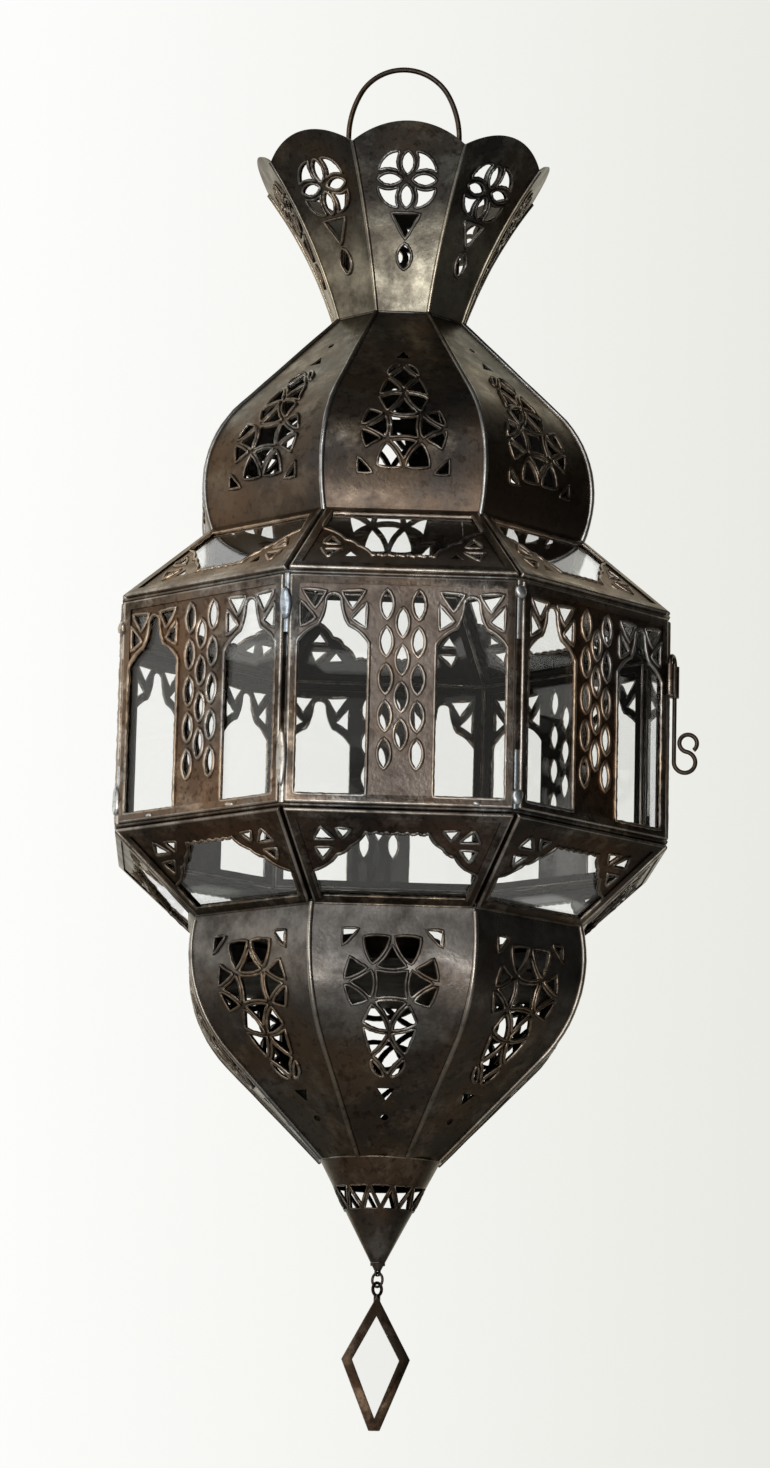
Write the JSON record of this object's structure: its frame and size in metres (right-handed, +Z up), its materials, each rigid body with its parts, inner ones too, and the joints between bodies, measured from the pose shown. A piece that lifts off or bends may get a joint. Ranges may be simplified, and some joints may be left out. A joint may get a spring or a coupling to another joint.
{
  "type": "hanging candle lantern",
  "caption": "Octagonal Moroccan-style hanging candle lantern in pierced bronzed sheet iron, with glazed drum, hinged door, flared crown, domed top, tapering bulb and glass drop.",
  "frame": {"origin": "hanging point, under the top of the bail's arch", "axes": "+Z up; -Y out of the pictured front panel; +X out of the door panel"},
  "size_m": [0.2108, 0.2, 0.5138],
  "materials": {
    "bronzed_sheet": "dark bronzed patina, rubbed at the edges",
    "came_metal": "dull tinned grey-brown, rubbed",
    "dark_wire": "darkened",
    "solder": "dull grey, lumpy",
    "clear_glass": "clear, slightly dusty"
  },
  "bodies": {
    "bail": {"bail": "dark_wire"},
    "lantern": {"hanger_bridge": "bronzed_sheet", "crown_petal_1": "bronzed_sheet", "crown_petal_2": "bronzed_sheet", "crown_petal_3": "bronzed_sheet", "crown_petal_4": "bronzed_sheet", "crown_petal_5": "bronzed_sheet", "crown_petal_6": "bronzed_sheet", "crown_petal_7": "bronzed_sheet", "crown_petal_8": "bronzed_sheet", "dome_gore_1": "bronzed_sheet", "dome_gore_2": "bronzed_sheet", "dome_gore_3": "bronzed_sheet", "dome_gore_4": "bronzed_sheet", "dome_gore_5": "bronzed_sheet", "dome_gore_6": "bronzed_sheet", "dome_gore_7": "bronzed_sheet", "dome_gore_8": "bronzed_sheet", "roof_frames": "came_metal", "roof_fretwork": "bronzed_sheet", "roof_glass": "clear_glass", "drum_frame_1": "came_metal", "drum_frame_2": "came_metal", "drum_frame_3": "came_metal", "drum_frame_4": "came_metal", "drum_frame_5": "came_metal", "drum_frame_6": "came_metal", "drum_frame_7": "came_metal", "drum_fretwork": "bronzed_sheet", "drum_glass": "clear_glass", "corner_solder": "solder", "skirt_frames": "came_metal", "skirt_fretwork": "bronzed_sheet", "skirt_glass": "clear_glass", "bulb_gore_1": "bronzed_sheet", "bulb_gore_2": "bronzed_sheet", "bulb_gore_3": "bronzed_sheet", "bulb_gore_4": "bronzed_sheet", "bulb_gore_5": "bronzed_sheet", "bulb_gore_6": "bronzed_sheet", "bulb_gore_7": "bronzed_sheet", "bulb_gore_8": "bronzed_sheet", "candle_plate": "bronzed_sheet", "candle_cup": "bronzed_sheet", "cone": "bronzed_sheet", "cone_tip": "bronzed_sheet", "hinge_fixed_knuckles": "came_metal", "hinge_pins": "dark_wire", "latch_keeper": "came_metal"},
    "door": {"door_frame": "came_metal", "door_fretwork": "bronzed_sheet", "door_glass": "clear_glass", "hinge_door_knuckles": "came_metal", "latch_tube": "came_metal"},
    "latch": {"latch_pin": "dark_wire"},
    "link_ring": {"link_ring": "dark_wire"},
    "drop": {"drop_frame": "came_metal", "drop_glass": "clear_glass"}
  },
  "joints": [
    {"name": "bail_swing", "type": "hinge", "parent": "bail", "child": "lantern", "pos_m": [0, 0, -0.0945], "axis": [1, 0, 0], "range_deg": [-35, 35]},
    {"name": "door_hinge", "type": "hinge", "parent": "lantern", "child": "door", "pos_m": [0.10092, 0.0418, -0.2591], "axis": [0, 0, 1], "range_deg": [0, 110]},
    {"name": "latch_lift", "type": "slide", "parent": "door", "child": "latch", "axis": [0, 0, 1], "range_m": [0, 0.013]},
    {"name": "ring_swing", "type": "hinge", "parent": "lantern", "child": "link_ring", "pos_m": [0, 0, -0.45513], "axis": [-0.7071, 0.7071, 0], "range_deg": [-40, 40]},
    {"name": "drop_swing", "type": "hinge", "parent": "link_ring", "child": "drop", "pos_m": [0, 0, -0.45868], "axis": [0.7071, 0.7071, 0], "range_deg": [-40, 40]}
  ]
}
